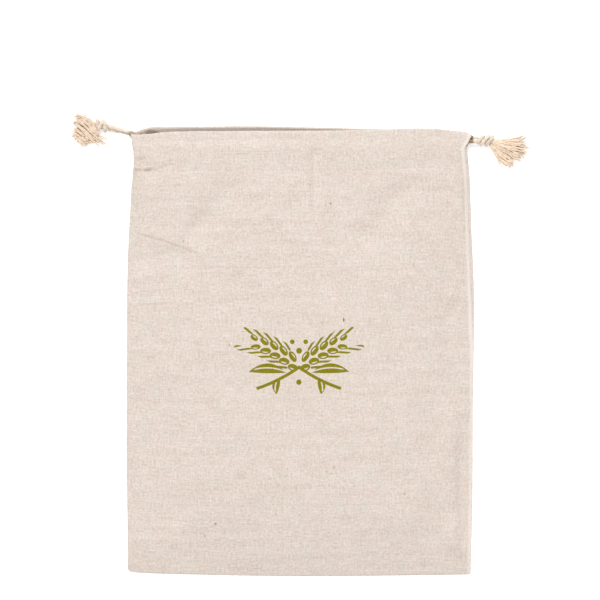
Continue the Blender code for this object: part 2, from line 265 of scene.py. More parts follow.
def front_height(x, y):
    """The height of the front panel's inner face."""
    depth = read(TOP_EDGE, "front", x) - y
    from_side = min(x - read(SIDES, "front_left", y), read(SIDES, "front_right", y) - x)
    from_bottom = y - read(BOTTOM_EDGE, "y", x)
    stack = front_hem_top(x, y) + channel(min(depth, HEM_DEPTH)) * 0.9
    between_cords = 0.3 * math.exp(-(((depth - 7.6) / 1.6) ** 2))
    at_side = mix(CHANNEL_END, BESIDE_SEAM, smooth((depth - 12.0) / 52.0))
    mouth = mix(at_side, stack - between_cords, smooth(from_side / 11.0))
    slack = noise.noise((x / 34.0, y / 40.0, 0.7)) * 0.5 + noise.noise((x / 15.0, y / 19.0, 5.2)) * 0.16
    inner = smooth((from_side - 2) / 12) * smooth((from_bottom - 2) / 14)
    creases = lifted(CREASES, x, y) * smooth((from_side - 1) / 5) * smooth((from_bottom - 2) / 14)
    if depth <= HEM_DEPTH:
        standing = max(0.0, creases)
        return mouth + ((puckers(x, depth) + slack * 0.4) * inner + standing) * below_cords(depth)
    reach = mix(34.0, 72.0, smooth(from_bottom / 70.0))
    off_bottom = 1 - max(0.0, 1 - from_bottom / 88.0) ** 2
    crown = BESIDE_SEAM + CROWN_RISE * smooth(from_side / reach) * off_bottom
    below = smooth((depth - HEM_DEPTH) / 95.0)
    loose = smooth((from_side - 3) / 14) * smooth((from_bottom - 3) / 20) * smooth((depth - HEM_DEPTH) / 16.0)
    waves = 0.0
    for wave in WAVES:
        turn = math.radians(wave["turn"])
        along = x * math.cos(turn) + y * math.sin(turn)
        waves += wave["rise"] * math.sin(math.tau * along / wave["length"] + wave["shift"])
    fine = puckers(x, depth) + slack * mix(0.4, 1.0, below)
    mouth -= min(0.0, lifted(CREASES, x, y))
    above = mix(mouth, crown, below) + (lifted(FOLDS, x, y) + waves) * loose + fine * inner + creases
    # Where a trough is deep, the cloth comes to rest on the back panel instead of passing through it.
    above -= RESTING
    return RESTING + (above + math.sqrt(above**2 + 0.1)) / 2


def rolled(y):
    """How far the right-hand seam has rolled over onto the front, measured along the cloth."""
    return (1.5 + 0.8 * smooth((y - 35.0) / 25.0)) * smooth((y + 5.0) / 40.0) * smooth((187.0 - y) / 7.0)


def wrapped(along):
    """Cloth that turns at a seam: how far in from the outline it is, and how high from -1 to 1."""
    quarter = SEAM_BEND * math.pi / 2
    turn = max(-1.0, min(1.0, along / quarter)) * math.pi / 2
    return CLOTH + SEAM_BEND * (1 - math.cos(turn)) + max(0.0, abs(along) - quarter), math.sin(turn)


NEAR_SEAM = (0.0, 0.3, 0.6, 0.9, 1.3, 1.8, 2.5, 3.3, 4.2, 5.3, 6.6, 8.2)
ROUND_ROLL = (0.0, 0.4, 0.8, 1.1, 1.3, 1.5, 1.7, 1.9, 2.1, 2.3, 2.5, 2.8, 3.3, 4.4, 6.0, 8.2)


def sheet_columns(count, near_right):
    """The columns of a panel: how far each is from the seam that it is near, or its share of the rest."""
    left = [("left", along) for along in NEAR_SEAM]
    right = [("right", along) for along in reversed(near_right)]
    return left + [("between", k / count) for k in range(1, count)] + right


def sheet_rows(hem, turn, channel_rows, body):
    """The rows of a panel from the raw edge of its hem, round the turn at the top and down to the seam."""
    top = CHANNEL_HEIGHT / 2 + CLOTH
    found = [("hem", mix(HEM_DEPTH, top, k / hem)) for k in range(hem)]
    found += [("turn", k / turn) for k in range(turn)]
    found += [("channel", mix(top, HEM_DEPTH, k / channel_rows)) for k in range(channel_rows)]
    found += [("body", k / body) for k in range(body)]
    return found + [("bottom", along) for along in reversed(NEAR_SEAM)]


def seam_turn(side, edge, along, y):
    """wrapped() for a point beside one of the side seams."""
    roll = rolled(y) if edge == "right" else 0.0
    return wrapped(roll + along if side == "front" else roll - along)


def sheet_point(side, column, row):
    """A point of a panel's inner face, and the same point on the flat cloth before it was sewn."""
    (edge, along), (kind, value) = column, row
    # A hem is narrower than its panel: outer is 0 at the hem's own width and 1 at the panel's.
    outer = {"hem": 0.0, "turn": 1.0 if side == "back" else smooth(value * 2)}.get(kind, 1.0)
    bend = CHANNEL_HEIGHT / 2
    inset = NEAR_SEAM[-1] if edge == "between" else along
    share = {"left": 0.0, "right": 1.0}.get(edge, along)

    def across(left, right):
        """Where the column is, between a left and a right edge."""
        return mix(left + inset, right - inset, share)

    def sides_at(y):
        """The panel's left and right edges."""
        return read(SIDES, side + "_left", y), read(SIDES, side + "_right", y)

    # How far down the panel the point is.
    hem_x = across(*HEM_SIDES)
    top_x = mix(hem_x, across(*sides_at(SIDES[-1]["y"])), outer)
    top = read(TOP_EDGE, side, top_x)
    y, off_floor = top - value, 1.0
    if kind == "turn":
        angle = math.pi * (value - 0.5)
        y = top - CLOTH - bend * (1 - math.cos(angle))
    elif kind in ("body", "bottom"):
        bottom = read(BOTTOM_EDGE, "y", across(*sides_at(SIDES[0]["y"])))
        y = mix(top - HEM_DEPTH, bottom + wrapped(NEAR_SEAM[-1])[0], value)
        if kind == "bottom":
            rise, off_floor = wrapped(value)
            y = bottom + rise
    flat_y = min(y, top - CLOTH - bend)

    # How far across it is. The hem ends inboard of the outer layer.
    left, right = sides_at(flat_y)
    level = 1.0 if side == "front" else -1.0
    if edge == "between":
        from_left = seam_turn(side, "left", NEAR_SEAM[-1], flat_y)[0]
        from_right = seam_turn(side, "right", NEAR_SEAM[-1], flat_y)[0]
        outer_x = mix(left + from_left, right - from_right, share)
    else:
        from_edge, level = seam_turn(side, edge, along, flat_y)
        outer_x = left + from_edge if edge == "left" else right - from_edge
    x = mix(hem_x, outer_x, outer)

    # How high it is. At a seam the cloth turns down or up to meet the other panel, and beside the mouth the
    # two edges are free.
    closing = smooth((read(TOP_EDGE, side, x) - flat_y - 9.0) / 18.0)
    high = front_height(x, flat_y) if level > 0 else 0.0
    free_edge = high - 1.3 if side == "front" else FLOOR_FACE + 0.9
    meet = mix(free_edge, SEAM_HEIGHT, closing) if level > 0 or side == "back" else SEAM_HEIGHT
    main = mix(meet, high if level > 0 else FLOOR_FACE, abs(level) * off_floor)
    if edge != "between":
        roll = min(1.0, rolled(flat_y) / 1.5) if edge == "right" else 0.0
        main -= (0.1 + 0.4 * roll) * level * math.exp(-((along / 0.5) ** 2))
        main += 0.35 * roll * max(0.0, level) * math.exp(-(((along - 1.8) / 1.5) ** 2))
    hem = front_hem_top(x, flat_y) if side == "front" else FLOOR_FACE + channel(top - flat_y)
    z = {"hem": hem, "turn": mix(hem, main, (1 + math.sin(math.pi * (value - 0.5))) / 2)}.get(kind, main)
    # The back's top edge curls up towards the left, and its right edge stands up beside the mouth.
    if side == "back":
        curl = 5.2 * smooth((110.0 - x) / 80.0) * smooth((x + 150.0) / 9.0)
        z += curl * max(0.0, 1 - (top - y) / 6.0) ** 1.6
        beside = math.exp(-(((right - x) / 1.6) ** 2)) if x > 100.0 else 0.0
        z += 4.5 * beside * smooth((flat_y - 178.0) / 8.0)

    # On the flat cloth, the channel and the body are where they are on the finished bag.
    inner = FLAT_SIDE - NEAR_SEAM[-1]
    flat_x = mix(-inner, inner, share) if edge == "between" else (FLAT_SIDE - along) * (1 if share else -1)
    fold_at = FLAT_HEM + HEM_DEPTH - bend - CLOTH
    flat = {
        "hem": fold_at + math.pi * bend + value - bend - CLOTH,
        "turn": fold_at + math.pi * bend * (1 - value),
        "channel": FLAT_HEM + HEM_DEPTH - value,
        "body": mix(FLAT_HEM, FLAT_BOTTOM + NEAR_SEAM[-1], value),
        "bottom": FLAT_BOTTOM + value,
    }[kind]
    return Vector((x, y, z)) * MM, Vector((flat_x, flat)) * MM


def finished(name, grid, finish):
    """A new object in the scene that holds the mesh and wears the finish."""
    mesh = bpy.data.meshes.new(name)
    grid.to_mesh(mesh)
    grid.free()
    mesh.shade_smooth()
    mesh.materials.append(finish)
    made = bpy.data.objects.new(name, mesh)
    bpy.context.scene.collection.objects.link(made)
    return made


def sewn_sheet(name, side, columns, rows, finish):
    """A panel: its inner face as a grid of columns and rows, given the cloth's thickness outwards."""
    grid = bmesh.new()
    bmesh.ops.create_grid(grid, x_segments=len(columns) - 1, y_segments=len(rows) - 1, size=0.5)
    cut = grid.loops.layers.uv.get("UVMap") or grid.loops.layers.uv.new("UVMap")
    for vertex in grid.verts:
        column = columns[round((vertex.co.x + 0.5) * (len(columns) - 1))]
        row = rows[round((vertex.co.y + 0.5) * (len(rows) - 1))]
        vertex.co, flat = sheet_point(side, column, row)
        for loop in vertex.link_loops:
            loop[cut].uv = flat
    made = finished(name, grid, finish)
    thick = made.modifiers.new("cloth", "SOLIDIFY")
    thick.thickness = CLOTH * MM
    thick.offset = -1.0 if side == "front" else 1.0
    thick.use_even_offset = False
    return made


class Socket:
    """An output of a shader node. Arithmetic on it adds math nodes, and node() adds any other kind."""

    def __init__(self, tree, output=None):
        self.tree = tree
        self.output = output

    def node(self, kind, settings=None, sockets=None, out=0):
        made = self.tree.nodes.new("ShaderNode" + kind)
        for name, value in (settings or {}).items():
            setattr(made, name, value)
        for name, value in (sockets or {}).items():
            self.join(made.inputs[name], value)
        return Socket(self.tree, made.outputs[out])

    def join(self, entry, value):
        if isinstance(value, Socket):
            self.tree.links.new(value.output, entry)
        else:
            entry.default_value = value

    def part(self, name):
        return Socket(self.tree, self.output.node.outputs[name])

    def math(self, operation, *others):
        return self.node("Math", {"operation": operation}, dict(enumerate((self, *others))))

    def __add__(self, other):
        return self.math("ADD", other)

    def __radd__(self, other):
        return self.math("ADD", other)

    def __sub__(self, other):
        return self.math("SUBTRACT", other)

    def __rsub__(self, other):
        return self.math("MULTIPLY_ADD", -1.0, other)

    def __mul__(self, other):
        return self.math("MULTIPLY", other)

    def __rmul__(self, other):
        return self.math("MULTIPLY", other)

    def __truediv__(self, other):
        return self.math("DIVIDE", other)

    def __abs__(self):
        return self.math("ABSOLUTE")

    def between(self, low, high, start=0.0, end=1.0):
        """start up to low, end from high, with an even curve between. low may be above high."""
        if low > high:
            low, high, start, end = high, low, end, start
        steps = {0: self, 1: low, 2: high, 3: start, 4: end}
        return self.node("MapRange", {"interpolation_type": "SMOOTHSTEP"}, steps)

    def scaled(self, x, y):
        return self.node("VectorMath", {"operation": "MULTIPLY"}, {0: self, 1: (x, y, 1.0)})

    def grain(self, scale, detail=2.0, roughness=0.5):
        """Noise at this place, about 0 and mostly within -0.25 to 0.25."""
        sockets = {"Vector": self, "Scale": scale, "Detail": detail, "Roughness": roughness}
        return self.node("TexNoise", None, sockets) - 0.5

    def tinted(self, low, high):
        """The colour low at 0 and high at 1, and a mix of them between."""
        return self.node("Mix", {"data_type": "RGBA"}, {0: self, 6: low, 7: high}, out=2)


def linen(name, ink=None):
    """Undyed linen with slubs, dark flecks and a slight mottle. ink gives how much print a place has."""
    finish = bpy.data.materials.new(name)
    finish.use_nodes = True
    shader = finish.node_tree.nodes["Principled BSDF"]
    start = Socket(finish.node_tree)
    place = start.node("UVMap", {"uv_map": "UVMap"})
    across = place.node("SeparateXYZ", None, {0: place})
    up = across.part("Y")

    def spot(x, y, wide, tall):
        """0 in the middle of an oval spot and 1 at its rim."""
        beside = (across - x * MM) / (wide * MM)
        above = (up - y * MM) / (tall * MM)
        return beside * beside + above * above

    def span(x0, x1, end0, end1):
        """1 from one place to another across the cloth, fading in over end0 and out over end1."""
        return across.between(x0 * MM, (x0 + end0) * MM) * across.between(x1 * MM, (x1 - end1) * MM)

    warp = place.scaled(1050.0, 95.0).grain(1.0, 1.0)
    weft = place.scaled(85.0, 950.0).grain(1.0, 1.0)
    mottle = place.grain(480.0, 3.0, 0.6)
    cloud = place.grain(60.0, 2.0)
    barred = place.scaled(11.0, 170.0).grain(1.0, 1.0)
    tone = 0.5 + warp * 0.8 + weft * 0.7 + mottle * 1.75 + cloud * 0.35 + barred * 0.4

    # Flecks of darker fibre, three of them larger, and four yarns that are thicker than the rest.
    cells = start.node("TexVoronoi", None, {"Vector": place.scaled(95.0, 45.0), "Scale": 1.0})
    chosen = start.node("SeparateXYZ", None, {0: cells.part("Color")}).between(0.78, 0.8)
    flecks = cells.between(0.1, 0.03) * chosen * 0.45
    for x, y, wide, tall, strength in (
        (39.6, 27.8, 0.9, 2.4, 1.0),
        (28.9, 131.7, 0.9, 1.2, 0.8),
        (-75.9, -155.0, 1.2, 0.9, 0.9),
    ):
        flecks = flecks.math("MAXIMUM", spot(x, y, wide, tall).between(1.0, 0.3) * strength)
    wander = place.grain(30.0, 1.0) * 2.0 * MM
    slubs_and_crease_shade = 0.0
    for y, x0, x1 in (
        (75.3, -89.0, 90.0),
        (61.8, -152.0, -112.0),
        (-128.0, 20.0, 96.0),
        (-154.5, -75.0, -30.0),
    ):
        line = abs(up - y * MM + wander).between(0.75 * MM, 0.2 * MM)
        slubs_and_crease_shade = slubs_and_crease_shade + line * span(x0, x1, 12, 12)

    # Sharp creases, where the cloth was folded and pressed: their ends, half their width and their strength.
    for x0, y0, x1, y1, wide, strength in (
        (-148.0, 108.9, -91.0, 87.6, 1.8, 2.7),
        (-156.0, 166.0, -146.0, 166.0, 2.3, 3.8),
        (-147.0, 165.5, -137.0, 165.9, 2.5, 5.6),
        (-138.0, 164.4, -116.0, 169.8, 2.4, 1.6),
        (-155.0, 176.2, -143.0, 176.0, 2.3, 2.8),
        (129.0, 33.0, 144.5, 62.0, 3.2, 1.6),
    ):
        slope = (y1 - y0) / (x1 - x0)
        away = abs(up - across * slope - (y0 - x0 * slope) * MM + wander * 0.5)
        slubs_and_crease_shade = slubs_and_crease_shade + away.between(wide * MM, 0.2 * MM) * span(x0, x1, 3, 4) * strength
    # Thick yarns are a little darker in colour, and the crease lines darker still as painted shade.
    tone = tone - slubs_and_crease_shade * 0.12

    # The front has a painted highlight over the right-hand seam and along one upright fold, and is a little
    # darker towards its bottom corners. The back has painted shade at its top corners, beside the mouth.
    if ink:
        painted_seam_highlight = across.between(151.4 * MM, 153.6 * MM) * up.between(-30.0 * MM, 30.0 * MM, 0.4, 0.75)
        painted_fold_highlight = abs(across - 16.5 * MM).between(5.0 * MM, 1.0 * MM) * up.between(124.0 * MM, 138.0 * MM)
        tone = tone + painted_seam_highlight + painted_fold_highlight * up.between(184.0 * MM, 172.0 * MM) * 0.18
        corners = abs(across - 1.0 * MM).between(128.0 * MM, 150.0 * MM)
        tone = tone - corners * up.between(-172.0 * MM, -192.0 * MM) * 0.1

    colour = tone.tinted((0.444, 0.375, 0.323, 1.0), (0.612, 0.55, 0.508, 1.0))
    blush = (place.grain(75.0, 1.0) * 2.0 + 0.5).tinted((1.02, 0.99, 0.985, 1.0), (0.985, 1.005, 0.99, 1.0))
    multiply = {"data_type": "RGBA", "blend_type": "MULTIPLY"}
    colour = start.node("Mix", multiply, {0: 1.0, 6: colour, 7: blush}, out=2)
    colour = flecks.tinted(colour, (0.2, 0.15, 0.11, 1.0))
    # Painted shade in brown on the back's two top corners, beside the mouth, one spot at each side.
    for x, y, wide, tall in () if ink else ((-143.5, 203.5, 8.5, 4.6), (153.5, 194.0, 4.0, 8.0)):
        colour = (spot(x, y, wide, tall).between(1.0, 0.2) * 0.7).tinted(colour, PAINTED_SHADE_BROWN)
    if ink:
        covered = ink(across, up) * (1.03 + mottle * 0.7)
        printed = (0.5 + warp + weft).tinted((0.143, 0.126, 0.0005, 1.0), (0.203, 0.18, 0.001, 1.0))
        colour = covered.tinted(colour, printed)
    start.join(shader.inputs["Base Color"], colour)

    # The weave: yarns 0.75 mm apart that pass over and under each other.
    beat = math.pi / (0.75 * MM)
    over = (across * beat).math("SINE")
    under = (up * beat).math("SINE")
    height = over * under * 0.5 + warp * 1.5 + weft * 1.5 + mottle * 0.8 + slubs_and_crease_shade * 0.8
    bump = height.node("Bump", None, {"Height": height, "Distance": 0.16 * MM, "Strength": 0.7})
    start.join(shader.inputs["Normal"], bump)
    shader.inputs["Roughness"].default_value = 0.92
    shader.inputs["Specular IOR Level"].default_value = 0.15
    return finish


back = sewn_sheet(
    "back_cloth",
    "back",
    sheet_columns(70, ROUND_ROLL),
    sheet_rows(8, 8, 14, 60),
    linen("linen_plain"),
)
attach(back, "root")
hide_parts("back_panel")


# The front panel: the same cloth and the same turned and stitched channel, laid over the back with a little
# air between. It has one screen print in olive ink, two crossed ears of wheat.
def wheat(across, up):
    """How much ink there is at a place. One half is drawn, and the other is its mirror image."""
    side = abs(across / MM + 1.0)
    lift = up / MM + 14.0

    def along(x0, y0, x1, y1, bow):
        """How far a place is along a bowed line from one point to the other, and how far to its side."""
        length = math.hypot(x1 - x0, y1 - y0)
        ahead = ((side - x0) * (x1 - x0) + (lift - y0) * (y1 - y0)) / length
        aside = ((lift - y0) * (x1 - x0) - (side - x0) * (y1 - y0)) / length
        return ahead, aside - ahead * (length - ahead) * (4 * bow / length**2), length

    def within(ahead, length):
        return ahead.between(-0.3, 0.1) * ahead.between(length, length - 0.4)

    # The ear: grains in two rows, half a step apart, each with one light side, and short awns outside them.
    ahead, aside, length = along(0.0, 0.0, 46.5, 24.0, 3.0)
    step, lean, first, slant = 9.6, math.radians(24), 4.6, math.radians(27)
    out = abs(aside)
    shifted = ahead - first + aside.math("LESS_THAN", 0.0) * (step / 2)
    cell = shifted.math("FLOORED_MODULO", step) - step / 2
    size = ahead.between(length - 22.0, length, 1.0, 0.74)
    tall = (cell * math.cos(lean) + (out - 3.9) * math.sin(lean)) / size
    wide = ((out - 3.9) * math.cos(lean) - cell * math.sin(lean)) / size
    rim = (tall * tall / 26.5 + wide * wide / 9.6).math("SQRT")
    light = rim.between(0.66, 0.54) * (wide + tall * 0.1).between(0.5, 0.9)
    grains = rim.between(1.02, 0.92) * (1.0 - light)
    grains = grains * shifted.between(-0.1, 0.1) * shifted.between(5 * step + 0.1, 5 * step - 0.1)
    rows = (shifted * math.sin(slant) - out * math.cos(slant)).math("FLOORED_MODULO", step * math.sin(slant))
    awns = abs(rows - step * math.sin(slant) / 2).between(1.05, 0.85)
    awns = awns * out.between(6.2, 6.6) * out.between(11.4, 10.9)
    awns = awns * shifted.between(9.0, 9.5) * ahead.between(length + 8.0, length + 7.2)
    found = grains.math("MAXIMUM", awns)

    # Below the ears: a stalk and two leaves a side, and four berries, two of them on the middle line.
    ahead, aside, length = along(-1.0, 0.5, 38.0, -19.5, -1.6)
    found = found.math("MAXIMUM", abs(aside).between(1.5, 1.25) * within(ahead, length))
    for x0, y0, x1, y1, bow, width in (
        (11.0, -5.0, 45.0, -4.5, 3.5, 4.4),
        (17.0, -9.0, 20.0, -24.5, 2.0, 3.3),
    ):
        ahead, aside, length = along(x0, y0, x1, y1, bow)
        half = ahead * (length - ahead) * (4 * width / length**2)
        vein = abs(aside - 0.5).between(0.5, 0.75) + ahead.between(length * 0.8, length * 0.9)
        leaf = (abs(aside) - half).between(0.15, -0.15) * vein.math("MINIMUM", 1.0)
        found = found.math("MAXIMUM", leaf * within(ahead, length))
    for x0, y0, radius in ((0.0, 14.5, 2.6), (6.0, 22.5, 2.1), (0.0, -13.5, 2.4)):
        from_x, from_y = side - x0, lift - y0
        away = (from_x * from_x + from_y * from_y).math("SQRT")
        found = found.math("MAXIMUM", away.between(radius + 0.1, radius - 0.1))
    return found


front = sewn_sheet(
    "front_cloth",
    "front",
    sheet_columns(152, NEAR_SEAM),
    sheet_rows(14, 10, 26, 178),
    linen("linen_printed", wheat),
)
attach(front, "root")
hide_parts("front_panel")


# The row of stitches that holds the front panel's hem, in cotton thread of the cloth's own colour, 3.4 mm
# apart and half sunk into the cloth.
def rings(points):
    """Each point of a line, with two directions square to it that turn little and how far along it is."""
    found, gone, side = [], 0.0, Vector((0.0, 0.0, 1.0))
    for k, point in enumerate(points):
        ahead = (points[min(k + 1, len(points) - 1)] - points[max(k - 1, 0)]).normalized()
        side = (side - ahead * side.dot(ahead)).normalized()
        gone += (point - points[max(k - 1, 0)]).length
        found.append((point, side, ahead.cross(side), gone))
    return found


def add_tubes(grid, lines, sides, bumps=None):
    """Adds a tube along each line, from one grid rolled up round them in turn and cut apart between them.

    A line is its points, of which each has the same number, and its radius by share of the way along.
    bumps() shapes the section.
    """
    count, turned = len(lines[0][0]), [rings(points) for points, _ in lines]
    made = bmesh.ops.create_grid(grid, x_segments=sides, y_segments=count * len(lines) - 1, size=0.5)["verts"]
    uv = grid.loops.layers.uv.get("UVMap") or grid.loops.layers.uv.new("UVMap")
    first, last = set(), set()
    for vertex in made:
        column = round((vertex.co.x + 0.5) * sides)
        n, k = divmod(round((vertex.co.y + 0.5) * (count * len(lines) - 1)), count)
        centre, side, up, gone = turned[n][k]
        angle = math.tau * (column % sides) / sides
        out = lines[n][1](gone / turned[n][-1][3]) * (bumps(angle, gone) if bumps else 1.0)
        vertex.co = (centre + (side * math.cos(angle) + up * math.sin(angle)) * out) * MM
        for loop in vertex.link_loops:
            loop[uv].uv = (gone * MM + n * 0.37, column / sides)
        if k in (0, count - 1):
            (first if k == 0 else last).update(vertex.link_faces)
    bmesh.ops.delete(grid, geom=list(first & last), context="FACES_ONLY")
    bmesh.ops.remove_doubles(grid, verts=[vertex for vertex in made if vertex.is_valid], dist=1e-8)


def tapered(thickness, ends):
    """A radius that is even along a tube and closes to a point in the last part at each end."""

    def radius(share):
        from_end = min(share, 1 - share)
        return thickness / 2 * math.sqrt(max(0.0, 1 - max(0.0, 1 - from_end / ends) ** 2))

    return radius


thread = bpy.data.materials.new("sewing_thread")
thread.use_nodes = True
thread_shader = thread.node_tree.nodes["Principled BSDF"]
thread_place = Socket(thread.node_tree).node("TexCoord", out="Object")
thread_place.join(
    thread_shader.inputs["Base Color"],
    (thread_place.grain(600.0) * 2 + 0.5).tinted((0.50, 0.43, 0.36, 1.0), (0.62, 0.55, 0.49, 1.0)),
)
thread_shader.inputs["Roughness"].default_value = 0.75

STITCH_STEP = 3.4
STITCH_LENGTH = 2.5
STITCH_COUNT = 86
seam_line = []
for n in range(STITCH_COUNT):
    x0 = -143.5 + STITCH_STEP * n
    depth = STITCH_DEPTH + 0.3 * noise.noise((x0 / 20.0, 2.0, 9.0))
    stitch = []
    for k in range(7):
        x = x0 + STITCH_LENGTH * k / 6
        y = read(TOP_EDGE, "front", x) - depth
        lift = CLOTH + 0.14 * math.sin(math.pi * k / 6) - 0.06
        stitch.append(Vector((x, y, front_height(x, y) + lift)))
    seam_line.append((stitch, tapered(0.42, 0.25)))
sewing = bmesh.new()
add_tubes(sewing, seam_line, 6)
stitches = finished("stitches_front", sewing, thread)
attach(stitches, "root")


# The two drawcords: soft two-ply cotton cord, 2.8 mm thick, whose plies turn once in 8 mm. Each goes in at
# one corner through the front channel, turns round outside the far corner, and comes back through the back
# channel to its own knot.
CORD = 2.8
CORD_PITCH = 8.0
LEFT_ROUTE = (
    (-172.2, 201.7, 6.1),
    (-166.5, 200.0, 6.7),
    (-160.0, 198.0, 7.3),
    (-155.0, 196.6, 7.6),
    (-150.0, 195.7, 7.8),
    (-146.0, 194.3, 7.8),
    (-142.8, 192.3, 8.0),
    (-139.3, 190.8, 8.7),
    (-135.0, 190.5, 9.0),
    (-120.0, 192.2, 9.8),
    (-103.0, 192.5, 11.2),
    (-86.0, 192.6, 12.6),
    (-68.0, 192.6, 13.2),
    (-28.0, 192.6, 13.2),
    (20.0, 192.6, 13.2),
    (68.0, 193.6, 13.2),
    (86.0, 194.2, 12.6),
    (103.0, 194.6, 11.2),
    (120.0, 194.6, 9.8),
    (132.0, 193.8, 9.1),
    (142.6, 193.3, 9.0),
    (146.8, 191.9, 7.9),
    (148.3, 188.6, 5.8),
    (146.8, 185.2, 3.7),
    (142.6, 183.8, 2.8),
    (120.0, 184.6, 2.8),
    (85.0, 185.8, 2.8),
    (40.0, 186.8, 2.8),
    (-10.0, 187.2, 2.8),
    (-60.0, 187.4, 2.8),
    (-105.0, 187.2, 2.8),
    (-132.0, 186.3, 2.8),
    (-141.0, 185.8, 2.8),
    (-146.4, 187.2, 2.8),
    (-149.4, 190.6, 2.8),
    (-151.6, 193.6, 2.9),
    (-155.5, 195.5, 3.1),
    (-161.0, 196.9, 3.4),
    (-166.5, 197.9, 3.7),
    (-172.2, 198.9, 4.0),
)
RIGHT_ROUTE = (
    (160.3, 187.9, 6.6),
    (155.8, 187.8, 7.9),
    (150.5, 187.3, 8.8),
    (144.5, 186.9, 9.0),
    (137.0, 187.0, 9.1),
    (120.0, 187.8, 9.8),
    (103.0, 188.0, 11.2),
    (86.0, 187.7, 12.6),
    (68.0, 187.2, 13.2),
    (20.0, 186.5, 13.2),
    (-28.0, 186.3, 13.2),
    (-68.0, 186.0, 13.2),
    (-86.0, 185.7, 12.6),
    (-103.0, 185.2, 11.2),
    (-120.0, 184.4, 9.6),
    (-131.0, 183.7, 9.0),
    (-138.2, 183.7, 8.9),
    (-142.3, 184.9, 8.0),
    (-143.9, 188.3, 5.8),
    (-142.3, 191.6, 3.7),
    (-138.2, 193.3, 2.8),
    (-131.0, 194.3, 2.8),
    (-120.0, 195.3, 2.8),
    (-88.0, 196.6, 2.8),
    (-45.0, 196.8, 2.8),
    (0.0, 196.1, 2.8),
    (35.0, 195.2, 2.8),
    (72.0, 194.3, 2.8),
    (100.0, 193.6, 2.8),
    (125.0, 192.6, 2.8),
    (140.0, 191.9, 2.8),
    (150.0, 191.6, 2.8),
    (155.8, 190.9, 3.1),
    (160.3, 190.5, 3.7),
)


def smooth_line(points, near_step, far_step):
    """Points on a smooth curve through the given ones, closer outside the channels, and its length."""
    line = [Vector(p) for p in points]
    ends = [line[0] * 2 - line[1], *line, line[-1] * 2 - line[-2]]
    found = [line[0]]
    for a, b, c, d in zip(ends, ends[1:], ends[2:], ends[3:]):
        inside = abs(b.x) < 136.0 and abs(c.x) < 136.0
        count = max(1, round((c - b).length / (far_step if inside else near_step)))
        for k in range(1, count + 1):
            t = k / count
            bend = (a * 2 - b * 5 + c * 4 - d) * (t * t / 2) + (b * 3 - a - c * 3 + d) * (t**3 / 2)
            found.append(b + (c - a) * (t / 2) + bend)
    return found, sum((b - a).length for a, b in zip(found, found[1:]))


def two_ply(pitch):
    """The section of a cord of two plies that turn about each other."""

    def bumps(angle, gone):
        return 0.76 + 0.24 * abs(math.cos(angle - math.tau * gone / pitch / 2)) ** 0.8

    return bumps


def yarn_finish(name, dark, light, pitch):
    """Soft spun cotton: fine fibres along each ply, uneven in tone, and brown with painted shade in the
    channels.
    """
    finish = bpy.data.materials.new(name)
    finish.use_nodes = True
    shader = finish.node_tree.nodes["Principled BSDF"]
    start = Socket(finish.node_tree)
    place = start.node("UVMap", {"uv_map": "UVMap"})
    along = place.node("SeparateXYZ", None, {0: place})
    round_it = along.part("Y") + along * (0.5 / (pitch * MM))
    fibres = start.node("CombineXYZ", None, {0: along * 260.0, 1: round_it * 26.0, 2: 0.0}).grain(1.0, 2.0)
    patches = start.node("TexCoord", out="Object").grain(420.0, 2.0)
    yarns = start.node("CombineXYZ", None, {0: along * 3.1, 1: 0.0, 2: 0.0}).grain(1.0, 0.0)
    tone = 0.55 + fibres * 1.6 + patches * 1.2 + yarns * 1.2
    sideways = start.node("SeparateXYZ", None, {0: start.node("TexCoord", out="Object")})
    # Painted shade in brown: full on the cords inside the channels, about half at the left mouth, and faint
    # over the left knot and tassel.
    painted_shade = sideways.between(-155.0 * MM, -150.5 * MM) * sideways.between(156.2 * MM, 154.2 * MM)
    painted_shade = painted_shade * sideways.between(-140.0 * MM, -100.0 * MM, 0.55, 1.0)
    painted_shade = painted_shade + sideways.between(-169.0 * MM, -172.0 * MM) * 0.07
    start.join(shader.inputs["Base Color"], painted_shade.tinted(tone.tinted(dark, light), PAINTED_SHADE_BROWN))
    bump = fibres.node("Bump", None, {"Height": fibres, "Distance": 0.2 * MM, "Strength": 0.8})
    start.join(shader.inputs["Normal"], bump)
    shader.inputs["Roughness"].default_value = 0.88
    shader.inputs["Sheen Weight"].default_value = 0.3
    return finish


def loosened(length):
    """The radius of a drawcord by share. Its plies open a little beside its knot."""

    def radius(share):
        from_knot = min(share, 1 - share) * length
        return tapered(CORD, 0.6 / length)(share) * (1 + 0.45 * smooth((20.0 - from_knot) / 13.0))

    return radius


cotton = yarn_finish("cotton_cord", (0.5, 0.405, 0.315, 1.0), (0.7, 0.605, 0.505, 1.0), CORD_PITCH)
cords = {}
for name, route in (("left", LEFT_ROUTE), ("right", RIGHT_ROUTE)):
    points, length = smooth_line(route, 0.4, 1.6)
    tube = bmesh.new()
    add_tubes(tube, [(points, loosened(length))], 16, two_ply(CORD_PITCH))
    cords[name] = (finished("cord_" + name, tube, cotton), points, length)
    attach(cords[name][0], "root")
    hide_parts("drawcord_" + name)


